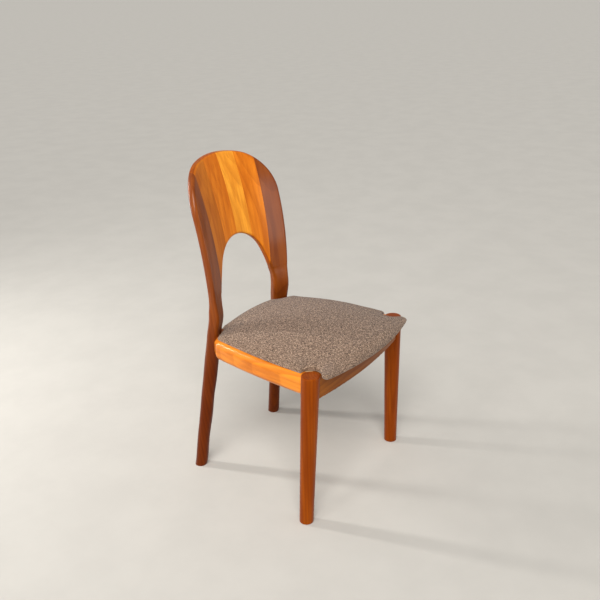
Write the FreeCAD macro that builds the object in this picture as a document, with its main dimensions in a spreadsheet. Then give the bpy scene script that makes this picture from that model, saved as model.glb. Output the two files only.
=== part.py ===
import FreeCAD, Part
import math
import os

import Sketcher
from FreeCAD import Placement, Rotation, Vector

# Dining chair: a frame of turned and shaped hardwood with a coopered, hollowed arch back
# and a loose upholstered seat pad, screwed on from below.
# Millimetres. +Z up, the sitter faces -Y, X = 0 is the plane of symmetry.
# The origin is on the floor, halfway between the front of the pad and the back of the crest.

SIZES = [
    # overall
    ("overall_depth", 582),
    ("overall_height", 950),
    ("seat_height", 455),
    # back: hollow in plan, leaning in side view, arched in front view
    ("back_width", 385),
    ("back_thickness", 22),
    ("back_hollow_radius", 435),
    ("back_lean", 85),
    ("crest_easing", 2.1),
    ("waist_rise", 55),
    ("waist_width", 363),
    ("crest_radius", 390),
    ("shoulder_radius", 135),
    ("opening_rise", 255),
    ("opening_foot_rise", 9),
    ("opening_width", 274),
    ("opening_crown_radius", 105),
    ("stave_top_width", 68),
    ("stave_waist_width", 58),
    ("rim_round", 8),
    # rear legs
    ("rear_foot_spread", 390),
    ("rear_foot_setback", 54),
    ("rear_foot_diameter", 36),
    ("rear_leg_diameter", 42),
    ("neck_width", 59.5),
    ("neck_thickness", 32),
    ("stile_foot_rise", 119),
    # front legs
    ("front_foot_spread", 500),
    ("front_top_spread", 460),
    ("front_foot_setback", 90),
    ("front_top_setback", 84),
    ("front_foot_diameter", 39.5),
    ("front_top_diameter", 51),
    ("leg_top_round", 3),
    ("foot_round", 2),
    # seat rails
    ("rail_drop", 2),
    ("side_rail_height", 60),
    ("side_rail_thickness", 28),
    ("side_rail_bow", 7),
    ("side_rail_inset", 9),
    ("side_rail_proud", 18),
    ("side_rail_round", 19),
    ("nose_radius", 22),
    ("front_rail_height", 70),
    ("front_rail_thickness", 26),
    ("front_rail_bow", 19),
    ("front_rail_setback", 9),
    ("rear_rail_height", 55),
    ("rear_rail_thickness", 24),
    ("rear_rail_forward", 8),
    ("rail_edge_round", 3),
    # joints
    ("dowel_diameter", 8),
    ("dowel_length", 34),
    ("dowel_spacing", 30),
    ("glue_gap", 0.1),
    ("dowel_end_gap", 1),
    # corner blocks and their screws
    ("block_reach", 62),
    ("block_height", 28),
    ("block_nose", 14),
    ("screw_diameter", 4),
    ("screw_head_diameter", 8),
    ("screw_head_height", 3),
    ("screw_gap", 0.25),
    ("seat_screw_length", 38),
    ("block_screw_length", 40),
    # seat pad
    ("pad_side_inset", 7),
    ("pad_corner_reach", 23),
    ("pad_gap", 3),
    ("pad_tongue_gap", 10),
    ("pad_crown", 54),
    ("pad_crown_radius", 1150),
    ("pad_corner_round", 12),
    ("pad_tongue", 16),
    ("cover_thickness", 1.5),
    ("hem_width", 30),
    ("board_thickness", 9),
    ("board_inset", 15),
    ("staple_crown", 10),
    ("staple_leg", 8),
    ("staple_wire", 1),
    ("staple_pitch", 45),
]

doc = FreeCAD.newDocument("dining_chair")
sheet = doc.addObject("Spreadsheet::Sheet", "sizes")
for row, (alias, value) in enumerate(SIZES, start=1):
    sheet.set(f"A{row}", alias)
    sheet.set(f"B{row}", str(value))
    sheet.setAlias(f"B{row}", alias)
doc.recompute()


class Size:
    """A number together with the spreadsheet expression that gives it."""

    def __init__(self, value, text=None):
        self.value = float(value)
        self.text = f"{self.value:.6f}" if text is None else text

    def combine(self, other, sign, value):
        other = as_size(other)
        return Size(value(self.value, other.value), f"({self.text} {sign} {other.text})")

    def __add__(self, other):
        return self.combine(other, "+", lambda a, b: a + b)

    def __sub__(self, other):
        return self.combine(other, "-", lambda a, b: a - b)

    def __mul__(self, other):
        return self.combine(other, "*", lambda a, b: a * b)

    def __truediv__(self, other):
        return self.combine(other, "/", lambda a, b: a / b)

    def __neg__(self):
        return as_size(0) - self

    def root(self):
        return Size(math.sqrt(self.value), f"sqrt({self.text})")


def as_size(number):
    return number if isinstance(number, Size) else Size(number)


def size(alias):
    return Size(sheet.get(alias), f"sizes.{alias}")


def between(low, high, share):
    """The size that lies at this share of the way from low to high."""
    return low + (high - low) * share


# ---------------------------------------------------------------- sketches and solids


def origin_plane(body, role):
    return next(item for item in body.Origin.OriginFeatures if item.Role == role)


def bind(item, prop, amount):
    item.setExpression(prop, as_size(amount).text)


def arc_between(start, end, radius):
    """Arc from start to end. A positive radius has its centre on the left of the way."""
    chord = end.sub(start)
    half = chord.Length / 2
    reach = math.sqrt(max(radius * radius - half * half, 0))
    left = Vector(-chord.y, chord.x, 0).normalize()
    centre = (start + end) * 0.5 + left * math.copysign(reach, radius)
    first = math.atan2(start.y - centre.y, start.x - centre.x)
    last = math.atan2(end.y - centre.y, end.x - centre.x)
    if radius < 0:
        first, last = last, first
    return Part.ArcOfCircle(Part.Circle(centre, Vector(0, 0, 1), abs(radius)), first, last)


def outline_sketch(body, name, corners, plane="XY_Plane", lift=0):
    """A closed sketch through corners (x, y, radius of the arc to the next, or None)."""
    sketch = body.newObject("Sketcher::SketchObject", name)
    sketch.AttachmentSupport = (origin_plane(body, plane), "")
    sketch.MapMode = "FlatFace"
    bind(sketch, "AttachmentOffset.Base.z", lift)
    add_loop(sketch, corners)
    return sketch


def add_loop(sketch, corners):
    """Draw one closed loop in a sketch and bind its corners and radii to the sheet."""
    count = len(corners)
    first = sketch.GeometryCount
    points = [Vector(as_size(x).value, as_size(y).value, 0) for x, y, _ in corners]
    ends = []
    for index, (_, _, radius) in enumerate(corners):
        start, end = points[index], points[(index + 1) % count]
        if radius is None:
            sketch.addGeometry(Part.LineSegment(start, end), False)
            ends.append((1, 2))
        else:
            sketch.addGeometry(arc_between(start, end, as_size(radius).value), False)
            ends.append((1, 2) if as_size(radius).value > 0 else (2, 1))
    for index, (x, y, radius) in enumerate(corners):
        this, following = first + index, first + (index + 1) % count
        start_point, end_point = ends[index]
        next_start = ends[(index + 1) % count][0]
        sketch.addConstraint(Sketcher.Constraint("Coincident", this, end_point, following, next_start))
        for kind, amount in (("DistanceX", as_size(x)), ("DistanceY", as_size(y))):
            made = sketch.addConstraint(
                Sketcher.Constraint(kind, -1, 1, this, start_point, amount.value))
            bind(sketch, f"Constraints[{made}]", amount)
        if radius is not None:
            length = as_size(radius)
            length = length if length.value > 0 else -length
            made = sketch.addConstraint(Sketcher.Constraint("Radius", this, length.value))
            bind(sketch, f"Constraints[{made}]", length)


def new_body(name):
    body = doc.addObject("PartDesign::Body", name)
    body.Label = name
    return body


def slab(name, corners, low, height):
    """A plate of the given plan outline, standing from low up by height."""
    body = new_body(name)
    sketch = outline_sketch(body, name + "_plan", corners, lift=low)
    pad = body.newObject("PartDesign::Pad", name + "_pad")
    pad.Profile = sketch
    bind(pad, "Length", height)
    sketch.Visibility = False
    doc.recompute()
    return body


def rounded(source, name, radius, wanted):
    """Round the edges of source that wanted(edge) picks out."""
    made = doc.addObject("Part::Fillet", name)
    made.Base = source
    length = as_size(radius).value
    picked = [index for index, edge in enumerate(source.Shape.Edges, start=1) if wanted(edge)]
    made.Edges = [(index, length, length) for index in picked]
    doc.recompute()
    return made


def boolean(kind, name, base, tool):
    made = doc.addObject(kind, name)
    made.Base = base
    made.Tool = tool
    doc.recompute()
    return made


def gather(name, members):
    made = doc.addObject("Part::Compound", name)
    made.Links = members
    doc.recompute()
    return made


def rod(name, radius, length, start, direction, cone_radius=None):
    """A round bar, or a cone when cone_radius is given, from start along direction."""
    if cone_radius is None:
        made = doc.addObject("Part::Cylinder", name)
        bind(made, "Radius", radius)
    else:
        made = doc.addObject("Part::Cone", name)
        bind(made, "Radius1", radius)
        bind(made, "Radius2", cone_radius)
    bind(made, "Height", length)
    made.Placement = Placement(start, Rotation(Vector(0, 0, 1), direction))
    return made


def span_z(edge):
    return edge.BoundBox.ZMax - edge.BoundBox.ZMin


SIDES = (("left", -1), ("right", 1))
finished = {}


def finish(name, source):
    """Take source as the finished piece of this name."""
    source.Label = name
    finished[name] = source
    return source


# ------------------------------------------------------------------------ main places

half_depth = size("overall_depth") / 2
front_edge = -half_depth
waist_height = size("seat_height") + size("waist_rise")
opening_foot = size("seat_height") + size("opening_foot_rise")
opening_top = size("seat_height") + size("opening_rise")
stile_foot = size("seat_height") + size("stile_foot_rise")
rail_top = size("seat_height") - size("rail_drop")
rail_middle = rail_top - size("side_rail_height") / 2

# The back's front face at the waist, on the plane of symmetry, and the centre of the
# hollow in plan.
waist_face = half_depth - size("back_lean") - size("back_thickness") + size("crest_easing")
hollow_centre = waist_face - size("back_hollow_radius")

# ------------------------------------------------------------------------ arched back


def back_plan():
    """Plan section of the back at the waist: a slice of a ring, wider than the back."""
    inner = size("back_hollow_radius")
    outer = inner + size("back_thickness")
    half = size("back_width") / 2 + size("back_thickness")
    ratio = outer / inner
    inner_y = hollow_centre + (inner * inner - half * half).root()
    outer_y = hollow_centre + (inner_y - hollow_centre) * ratio
    return [
        (half, inner_y, None),
        (half * ratio, outer_y, outer),
        (-half * ratio, outer_y, None),
        (-half, inner_y, -inner),
    ]


def side_arc():
    """The back's outer side in front view: centre x and z, and radius, on the right."""
    half = size("back_width") / 2
    crest, shoulder = size("crest_radius"), size("shoulder_radius")
    crest_centre = size("overall_height") - crest
    shoulder_x = half - shoulder
    reach = crest - shoulder
    shoulder_z = crest_centre + (reach * reach - shoulder_x * shoulder_x).root()
    rise = shoulder_z - waist_height
    draw_in = half - size("waist_width") / 2
    radius = (rise * rise + draw_in * draw_in) / (draw_in * 2)
    return half - radius, shoulder_z, radius


def flank_arc():
    """The opening's side in front view: centre x and z, and radius, on the right."""
    crown = size("opening_crown_radius")
    half = size("opening_width") / 2
    rise = opening_top - opening_foot - crown
    radius = (half * half + rise * rise - crown * crown) / ((half - crown) * 2)
    return half - radius, opening_foot, radius


def arc_x(arc, height):
    """Where one of these arcs stands at a height."""
    centre_x, centre_z, radius = arc
    rise = as_size(height) - centre_z
    return centre_x + (radius * radius - rise * rise).root()


def back_outline():
    """Front view of the back: side, shoulder and crest arcs that run into each other."""
    crest, shoulder = size("crest_radius"), size("shoulder_radius")
    crest_centre = size("overall_height") - crest
    _, shoulder_z, side = side_arc()
    half = size("back_width") / 2
    meet_x = (half - shoulder) * crest / (crest - shoulder)
    meet_z = crest_centre + (shoulder_z - crest_centre) * crest / (crest - shoulder)
    foot_x = arc_x(side_arc(), stile_foot)
    crown = size("opening_crown_radius")
    flank_x, _, flank = flank_arc()
    share = flank / (flank - crown)
    crown_z = opening_foot + (opening_top - opening_foot - crown) * share
    crown_x = flank_x - flank_x * share
    open_x = arc_x(flank_arc(), stile_foot)
    return [
        (open_x, stile_foot, None),
        (foot_x, stile_foot, side),
        (half, shoulder_z, shoulder),
        (meet_x, meet_z, crest),
        (-meet_x, meet_z, shoulder),
        (-half, shoulder_z, side),
        (-foot_x, stile_foot, None),
        (-open_x, stile_foot, -flank),
        (-crown_x, crown_z, -crown),
        (crown_x, crown_z, -flank),
    ]


def lean_radius():
    """Radius of the arc, in side view, that carries the back from the waist to the crest."""
    height = size("overall_height") - waist_height
    lean = size("back_lean")
    return (height * height + lean * lean) / (lean * 2)


def make_back():
    """The whole back in one: plan slice turned about a level axis, cut to its outline."""
    plan_body = new_body("back_ring")
    plan = outline_sketch(plan_body, "back_plan", back_plan(), lift=waist_height)
    height = size("overall_height") - waist_height
    axis_y = waist_face + lean_radius()
    ring = doc.addObject("Part::Revolution", "leaning_ring")
    ring.Source = plan
    ring.Axis = Vector(1, 0, 0)
    ring.Base = Vector(0, axis_y.value, waist_height.value)
    reach = math.degrees(math.asin(height.value / lean_radius().value))
    ring.Angle = -2 * (reach + SPARE_TURN)
    ring.Symmetric = True
    ring.Solid = True
    front_body = new_body("back_front_view")
    outline = outline_sketch(front_body, "back_outline", back_outline(), plane="XZ_Plane")
    prism = doc.addObject("Part::Extrusion", "back_prism")
    prism.Base = outline
    prism.DirMode = "Custom"
    prism.Dir = Vector(0, 1, 0)
    prism.Symmetric = True
    prism.Solid = True
    bind(prism, "LengthFwd", size("overall_depth") * 2)
    doc.recompute()
    blank = boolean("Part::Common", "back_blank", ring, prism)
    short = size("back_thickness").value * 2

    def is_rim(edge):
        middle = edge.valueAt((edge.FirstParameter + edge.LastParameter) / 2)
        runs_back = edge.BoundBox.YMax - edge.BoundBox.YMin > edge.Length / 2
        return middle.z > stile_foot.value + 1 and not (runs_back and edge.Length < short)

    return rounded(blank, "back_rimmed", size("rim_round"), is_rim)


# Degrees by which the turned ring overshoots the crest, to be trimmed by the outline.
SPARE_TURN = 3


def joint_x(number, height):
    """Place of a glue joint, counted from the middle one, in the tapered staves."""
    rise = size("overall_height") - waist_height
    share = (as_size(height) - waist_height) / rise
    return between(size("stave_waist_width"), size("stave_top_width"), share) * number


def slice_of(name, source, first, last):
    """The part of source between two glue joints, or out past the rim for joint 9."""
    top = size("overall_height") + size("back_thickness")
    body = new_body(name + "_slice")
    corners = [
        (joint_x(first, 0), as_size(0), None),
        (joint_x(last, 0), as_size(0), None),
        (joint_x(last, top), top, None),
        (joint_x(first, top), top, None),
    ]
    front_view = outline_sketch(body, name + "_front_view", corners, plane="XZ_Plane")
    wedge = doc.addObject("Part::Extrusion", name + "_wedge")
    wedge.Base = front_view
    wedge.DirMode = "Custom"
    wedge.Dir = Vector(0, 1, 0)
    wedge.Symmetric = True
    wedge.Solid = True
    bind(wedge, "LengthFwd", size("overall_depth") * 2)
    doc.recompute()
    return boolean("Part::Common", name, source, wedge)


# ------------------------------------------------------------------------- rear legs


def rear_foot(side):
    return size("rear_foot_spread") / 2 * side, half_depth - size("rear_foot_setback")


def neck_place(side):
    """Centre of the stile where the back is furthest forward, and its turn in degrees."""
    open_half, waist_half = size("opening_width") / 2, size("waist_width") / 2
    x = (open_half + waist_half) / 2
    reach = size("back_hollow_radius") + size("back_thickness") / 2
    y = hollow_centre + (reach * reach - x * x).root()
    turn = -math.degrees(math.asin(x.value / reach.value))
    return x * side, y, turn * side


def rear_leg_at(side, height):
    """Centre of a rear leg at a height, on the straight line from its foot to its neck."""
    foot_x, foot_y = rear_foot(side)
    neck_x, neck_y, _ = neck_place(side)
    share = as_size(height) / waist_height
    if share.value > 1:
        return neck_x, neck_y
    return between(foot_x, neck_x, share), between(foot_y, neck_y, share)


def sawn_place(side, height):
    """Centre of the sawn stile at a height above the waist, and its width in the turned frame."""
    inner, outer = arc_x(flank_arc(), height), arc_x(side_arc(), height)
    x = (inner + outer) / 2
    reach = size("back_hollow_radius") + size("back_thickness") / 2
    rise = as_size(height) - waist_height
    bend = lean_radius()
    y = hollow_centre + (reach * reach - x * x).root() + bend - (bend * bend - rise * rise).root()
    slant = math.cos(math.radians(neck_place(side)[2]))
    return x * side, y, (outer - inner) / slant


def skewed_box(width, depth, corner, skew):
    """A box with rounded corners about its centre, its ends leaning by skew degrees."""
    x, y = width / 2, depth / 2
    lean = math.radians(skew)
    shift = y * math.tan(lean)
    front, rear = corner * math.tan(math.pi / 4 + lean / 2), corner * math.tan(math.pi / 4 - lean / 2)
    across, along = math.sin(lean), math.cos(lean)
    right = [
        (x + shift - front, -y, corner),
        (x + shift - front * across, -y + front * along, None),
        (x - shift + rear * across, y - rear * along, corner),
        (x - shift - rear, y, None),
    ]
    return right + [(-px, -py, radius) for px, py, radius in right]


def leg_section(body, name, place, turn, height, outline):
    """A section across a leg, drawn about its own centre and turned in plan."""
    sketch = outline_sketch(body, name, outline, lift=height)
    bind(sketch, "AttachmentOffset.Base.x", place[0])
    bind(sketch, "AttachmentOffset.Base.y", place[1])
    sketch.AttachmentOffset = Placement(
        sketch.AttachmentOffset.Base, Rotation(Vector(0, 0, 1), turn))
    return sketch


def section_wire(stave, side):
    """The lower end of a stave as a wire that starts, and turns, as skewed_box does."""
    flats = [face for face in stave.Shape.Faces
             if abs(face.CenterOfMass.z - stile_foot.value) < 0.01 and abs(face.normalAt(0, 0).z) > 0.99]
    edges = list(flats[0].OuterWire.Edges)
    middle = flats[0].CenterOfMass
    turn = -neck_place(side)[2]

    def angle(edge):
        out = edge.CenterOfMass - middle
        local = Rotation(Vector(0, 0, 1), turn).multVec(out)
        return math.atan2(local.y, local.x)
    edges.sort(key=angle)
    start = next(index for index, edge in enumerate(edges) if angle(edge) > -math.pi / 2)
    return Part.Wire(edges[start:] + edges[:start])


def smooth_step(share):
    """0 up to 0, 1 from 1 on, and an even S curve between."""
    share = min(max(share, 0), 1)
    return share * share * (3 - 2 * share)


def leg_outlines(side):
    """Height, place and outline of each section of a rear leg, from the foot upwards."""
    foot, leg = size("rear_foot_diameter"), size("rear_leg_diameter")
    neck_width, neck_depth = size("neck_width"), size("neck_thickness")
    turn = neck_place(side)[2]
    found = []
    for step in LEG_STEPS:
        height = waist_height * step
        flat = smooth_step((step - LEG_FULL) / (1 - LEG_FULL))
        round_size = between(foot, leg, min(step / LEG_FULL, 1))
        width, depth = between(round_size, neck_width, flat), between(round_size, neck_depth, flat)
        corner = depth * (LEG_CORNER + (NECK_CORNER - LEG_CORNER) * flat)
        found.append((height, rear_leg_at(side, height), skewed_box(width, depth, corner, 0)))
    neck_x, neck_y, _ = neck_place(side)
    for step in STILE_STEPS:
        height = between(waist_height, stile_foot, step)
        share = smooth_step(step)
        x, y, sawn_width = sawn_place(side, height)
        width = between(neck_width, sawn_width, share)
        depth = between(neck_depth, size("back_thickness"), share)
        corner = between(neck_depth * NECK_CORNER, size("rim_round"), share)
        place = (between(neck_x, x, share), between(neck_y, y, share))
        found.append((height, place, skewed_box(width, depth, corner, -turn * share)))
    return found


def make_rear_leg(side_name, side, stave):
    """Leg, stile and outermost stave in one: a loft up to the sawn, hollowed stave."""
    body = new_body(f"rear_leg_{side_name}_lines")
    turn = neck_place(side)[2]
    sections = [
        leg_section(body, f"rear_leg_{side_name}_section_{index}", place, turn, height, outline)
        for index, (height, place, outline) in enumerate(leg_outlines(side))
    ]
    top = doc.addObject("Part::Feature", f"rear_leg_{side_name}_top_section")
    top.Shape = section_wire(stave, side)
    doc.recompute()
    loft = doc.addObject("Part::Loft", f"rear_leg_{side_name}_loft")
    loft.Sections = sections + [top]
    loft.Solid = True
    doc.recompute()
    return boolean("Part::Fuse", f"rear_leg_{side_name}_blank", stave, loft)


# Heights of the leg's sections as shares of the waist height, the share at which the round
# leg begins to flatten into the neck, and the heights from the waist up to the sawn stile.
# Corner radii are shares of the depth.
LEG_STEPS = (0, 0.14, 0.28, 0.42, 0.56, 0.70, 0.79, 0.87, 0.94, 1)
LEG_FULL = 0.70
STILE_STEPS = (0.25, 0.5, 0.75, 0.92)
LEG_CORNER = 0.48
NECK_CORNER = 0.38

back = make_back()
# A joint number that lies outside the back's widest place.
PAST_RIM = 9
leg_staves = {
    "left": slice_of("leg_stave_left", back, -PAST_RIM, -2),
    "right": slice_of("leg_stave_right", back, 2, PAST_RIM),
}
for number in range(4):
    first = number - 2
    finish(f"back_stave_{number + 1}", slice_of(f"stave_{number + 1}", back, first, first + 1))
rear_legs = {name: make_rear_leg(name, side, leg_staves[name]) for name, side in SIDES}


# ------------------------------------------------------------------------ front legs


def front_leg_at(side, height):
    """Centre of a front leg at a height: it spreads a little towards the floor."""
    share = as_size(height) / size("seat_height")
    spread = between(size("front_foot_spread"), size("front_top_spread"), share)
    setback = between(size("front_foot_setback"), size("front_top_setback"), share)
    return spread / 2 * side, front_edge + setback


def front_leg_radius(height):
    share = as_size(height) / size("seat_height")
    return between(size("front_foot_diameter"), size("front_top_diameter"), share) / 2


def circle_sketch(body, name, place, height, radius):
    sketch = body.newObject("Sketcher::SketchObject", name)
    sketch.AttachmentSupport = (origin_plane(body, "XY_Plane"), "")
    sketch.MapMode = "FlatFace"
    bind(sketch, "AttachmentOffset.Base.x", place[0])
    bind(sketch, "AttachmentOffset.Base.y", place[1])
    bind(sketch, "AttachmentOffset.Base.z", height)
    sketch.addGeometry(Part.Circle(Vector(0, 0, 0), Vector(0, 0, 1), as_size(radius).value), False)
    sketch.addConstraint(Sketcher.Constraint("Coincident", 0, 3, -1, 1))
    made = sketch.addConstraint(Sketcher.Constraint("Radius", 0, as_size(radius).value))
    bind(sketch, f"Constraints[{made}]", radius)
    return sketch


def make_front_leg(side_name, side):
    """Turned leg, thicker at the seat, with both ends cut level and eased."""
    name = f"front_leg_{side_name}"
    body = new_body(name + "_turning")
    top, ease, foot_ease = size("seat_height"), size("leg_top_round"), size("foot_round")
    # height, and how much smaller the radius is there than the plain taper
    rings = [
        (as_size(0), foot_ease),
        (foot_ease, as_size(0)),
        (top - ease, as_size(0)),
        (top - ease * 0.3, ease * 0.3),
        (top, ease),
    ]
    sketches = [
        circle_sketch(body, f"{name}_ring_{index}", front_leg_at(side, height), height,
                      front_leg_radius(height) - less)
        for index, (height, less) in enumerate(rings)
    ]
    loft = body.newObject("PartDesign::AdditiveLoft", name + "_loft")
    loft.Profile = sketches[0]
    loft.Sections = sketches[1:]
    loft.Ruled = True
    doc.recompute()
    return body


front_legs = {name: make_front_leg(name, side) for name, side in SIDES}

# ------------------------------------------------------------------------- seat rails


def mirrored(corners, side):
    """Corners for the other side of the chair, still drawn anticlockwise."""
    if side > 0:
        return corners
    flipped = []
    for index in range(len(corners) - 1, -1, -1):
        x, y, _ = corners[index]
        flipped.append((-as_size(x), y, corners[index - 1][2]))
    return flipped


def side_rail_lines():
    """Outer and inner ends of the right side rail in plan."""
    front_x, front_y = front_leg_at(1, rail_middle)
    rear_x, rear_y = rear_leg_at(1, rail_middle)
    outer_front = front_x + front_leg_radius(rail_middle) - size("side_rail_inset")
    outer_rear = rear_x + size("rear_leg_diameter") / 2 + size("side_rail_proud")
    thick = size("side_rail_thickness")
    return {
        "outer_front": (outer_front, front_y),
        "outer_rear": (outer_rear, rear_y - size("rear_leg_diameter")),
        "nose": (rear_x + size("rear_leg_diameter") / 4, rear_y - size("rear_leg_diameter") / 4),
        "inner_rear": (rear_x - size("rear_leg_diameter") / 8, rear_y),
        "inner_front": (outer_front - thick, front_y),
    }


def arc_radius(start, end, bow):
    """Radius of the arc from start to end that stands bow out from the chord."""
    dx, dy = end[0] - start[0], end[1] - start[1]
    return ((dx * dx + dy * dy) / 4 + bow * bow) / (bow * 2)


def make_side_rail(side_name, side):
    """Side rail: bowed outer face, rounded over above and below and round its nose."""
    name = f"side_rail_{side_name}"
    at = side_rail_lines()
    bow = arc_radius(at["outer_front"], at["outer_rear"], size("side_rail_bow"))
    corners = [
        (*at["inner_front"], None),
        (*at["outer_front"], bow),
        (*at["outer_rear"], None),
        (*at["nose"], None),
        (*at["inner_rear"], None),
    ]
    height = size("side_rail_height")
    body = slab(name + "_board", mirrored(corners, side), rail_top - height, height)
    corner_x = at["outer_rear"][0].value
    outer_line = at["outer_rear"][0].value - size("side_rail_thickness").value / 4
    nose = rounded(body, name + "_nose", size("nose_radius"),
                   lambda edge: span_z(edge) > 1 and abs(edge.BoundBox.XMax * side - corner_x) < 0.1)
    nose_y = at["nose"][1].value

    def is_outer(edge):
        middle = edge.valueAt((edge.FirstParameter + edge.LastParameter) / 2)
        ends_at_nose = abs(edge.BoundBox.YMax - nose_y) < 0.1 and edge.BoundBox.YMin < nose_y - 1
        return span_z(edge) < 1 and (middle.x * side > outer_line or ends_at_nose)
    return rounded(nose, name + "_blank", size("side_rail_round"), is_outer)


def front_rail_ends():
    middle = rail_top - size("front_rail_height") / 2
    x, y = front_leg_at(1, middle)
    return x, y - front_leg_radius(middle) + size("front_rail_setback")


def make_front_rail():
    """Front rail: bowed forward between the front legs, straight behind."""
    x, face = front_rail_ends()
    thick, height = size("front_rail_thickness"), size("front_rail_height")
    bow = arc_radius((-x, face), (x, face), size("front_rail_bow"))
    corners = [(-x, face, bow), (x, face, None), (x, face + thick, None), (-x, face + thick, None)]
    body = slab("front_rail_board", corners, rail_top - height, height)
    return rounded(body, "front_rail_blank", size("rail_edge_round"),
                   lambda edge: span_z(edge) < 1 and edge.Curve.TypeId == "Part::GeomCircle")


def rear_rail_y():
    return rear_leg_at(1, rail_middle)[1] - size("rear_rail_forward")


def make_rear_rail():
    """Rear rail: a plain bar between the rear legs, set a little ahead of their middle."""
    x, y = rear_leg_at(1, rail_middle)[0], rear_rail_y()
    thick, height = size("rear_rail_thickness"), size("rear_rail_height")
    front, back_face = y - thick / 2, y + thick / 2
    corners = [(-x, front, None), (x, front, None), (x, back_face, None), (-x, back_face, None)]
    body = slab("rear_rail_board", corners, rail_top - height, height)
    return rounded(body, "rear_rail_blank", size("rail_edge_round"),
                   lambda edge: edge.BoundBox.XMax - edge.BoundBox.XMin > x.value)


side_rails = {name: make_side_rail(name, side) for name, side in SIDES}
front_rail = make_front_rail()
rear_rail = make_rear_rail()
all_legs = gather("all_legs", list(front_legs.values()) + list(rear_legs.values()))
side_rails = {name: boolean("Part::Cut", f"side_rail_{name}_shouldered", rail, all_legs)
              for name, rail in side_rails.items()}
butts = gather("rear_rail_butts", [all_legs] + list(side_rails.values()))

# ------------------------------------------------------------- glue joints with dowels


def unit(dx, dy):
    return Vector(dx, dy, 0).normalize()


def rail_joints():
    """Middle, direction and heights of each pair of dowels on the right of the chair."""
    at = side_rail_lines()
    front_x, front_y = (v.value for v in front_leg_at(1, rail_middle))
    rear_x, rear_y = (v.value for v in rear_leg_at(1, rail_middle))
    half_thick = size("side_rail_thickness").value / 2
    outer_front, outer_rear = at["outer_front"], at["outer_rear"]
    along = unit(outer_rear[0].value - outer_front[0].value, outer_rear[1].value - outer_front[1].value)
    front_radius = front_leg_radius(rail_middle).value
    rear_radius = size("rear_leg_diameter").value / 2
    to_nose = unit(outer_rear[0].value - half_thick - rear_x, outer_rear[1].value - rear_y)
    rail_x = outer_front[0].value - half_thick
    front_middle = front_rail_ends()[1].value + size("front_rail_thickness").value / 2
    inwards = Vector(-1, 0, 0)
    side_z = rail_middle.value
    front_z = rail_top.value - size("front_rail_height").value / 2
    rear_z = rail_top.value - size("rear_rail_height").value / 2
    clear = size("dowel_diameter").value / 2
    return {
        "front": [
            (Vector(rail_x, front_y, 0) + along * front_radius, along, side_z),
            (Vector(front_x - front_radius, front_middle, 0), inwards, front_z),
        ],
        "rear": [
            (Vector(rear_x, rear_y, 0) + to_nose * (rear_radius + clear), to_nose, side_z),
            (Vector(rear_x - rear_radius - clear, rear_y - size("rear_rail_forward").value, 0),
             inwards, rear_z),
        ],
    }


def make_dowels(end, joints):
    """The dowels at one end of the chair, both sides, and the holes that they fill by side."""
    radius, length = size("dowel_diameter") / 2, size("dowel_length")
    hole_radius, hole_length = radius + size("glue_gap"), length + size("dowel_end_gap") * 2
    pegs, holes = [], {}
    for side_name, side in SIDES:
        holes[side_name] = []
        for joint, (middle, way, height) in enumerate(joints):
            for step in (-0.5, 0.5):
                z = height + size("dowel_spacing").value * step
                centre = Vector(middle.x * side, middle.y, z)
                way_here = Vector(way.x * side, way.y, 0)
                name = f"{end}_{side_name}_{joint}_{'low' if step < 0 else 'high'}"
                start = centre - way_here * (length.value / 2)
                pegs.append(rod("dowel_" + name, radius, length, start, way_here))
                hole_start = centre - way_here * (hole_length.value / 2)
                hole = rod("dowel_hole_" + name, hole_radius, hole_length, hole_start, way_here)
                holes[side_name].append(hole)
    finish(f"{end}_dowels", gather(f"{end}_dowel_set", pegs))
    return holes


dowel_holes = {side_name: [] for side_name, _ in SIDES}
for end, joints in rail_joints().items():
    for side_name, holes in make_dowels(end, joints).items():
        dowel_holes[side_name] += holes
dowel_holes = {name: gather(f"dowel_holes_{name}", holes) for name, holes in dowel_holes.items()}


def drilled(name, piece):
    """A piece with the dowel holes of both sides of the chair."""
    for side_name, holes in dowel_holes.items():
        piece = boolean("Part::Cut", f"{name}_drilled_{side_name}", piece, holes)
    return piece


# ----------------------------------------------------------- corner blocks and screws


def inner_face_x(y):
    """Inner face of the right side rail at a place along it."""
    at = side_rail_lines()
    (x0, y0), (x1, y1) = at["inner_front"], at["inner_rear"]
    return between(x0, x1, (as_size(y) - y0) / (y1 - y0))


def block_corners(end):
    """Plan of a right-hand corner block, and which way along Y it reaches."""
    reach, nose = size("block_reach"), size("block_nose")
    if end == "front":
        y, way = front_rail_ends()[1] + size("front_rail_thickness"), 1
    else:
        y, way = rear_rail_y() - size("rear_rail_thickness") / 2, -1
    x = inner_face_x(y)
    far_y = y + reach * way
    far_x = inner_face_x(far_y)
    points = [(x, y), (far_x, far_y), (far_x - nose, far_y), (x - reach, y + nose * way), (x - reach, y)]
    if way < 0:
        points.reverse()
    return [(px, py, None) for px, py in points], x, y, way


def screw(name, seat, way, length):
    """A round-headed screw whose head rests at seat, with its clearance and pilot holes."""
    radius, gap = size("screw_diameter") / 2, size("screw_gap")
    head, head_height = size("screw_head_diameter") / 2, size("screw_head_height")
    shank = rod(name + "_shank", radius, length, seat, way)
    cap = rod(name + "_head", head, head_height, seat, way * -1, cone_radius=head * 0.7)
    clearance = rod(name + "_clearance", radius + gap, length, seat, way)
    recess = rod(name + "_recess", head + gap, size("block_reach"), seat, way * -1)
    pilot = rod(name + "_pilot", radius, length + gap, seat, way)
    whole = boolean("Part::Fuse", name, shank, cap)
    return whole, [clearance, recess], pilot


def hypotenuse(corners, way):
    """The slanting face of a block as two plan points."""
    order = (2, 3) if way > 0 else (2, 1)
    return [Vector(corners[i][0].value, corners[i][1].value, 0) for i in order]


# How far along a block its rail screws and its seat screw stand, as shares of its reach.
RAIL_SCREW = 0.75
SEAT_SCREW = 0.38


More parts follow.
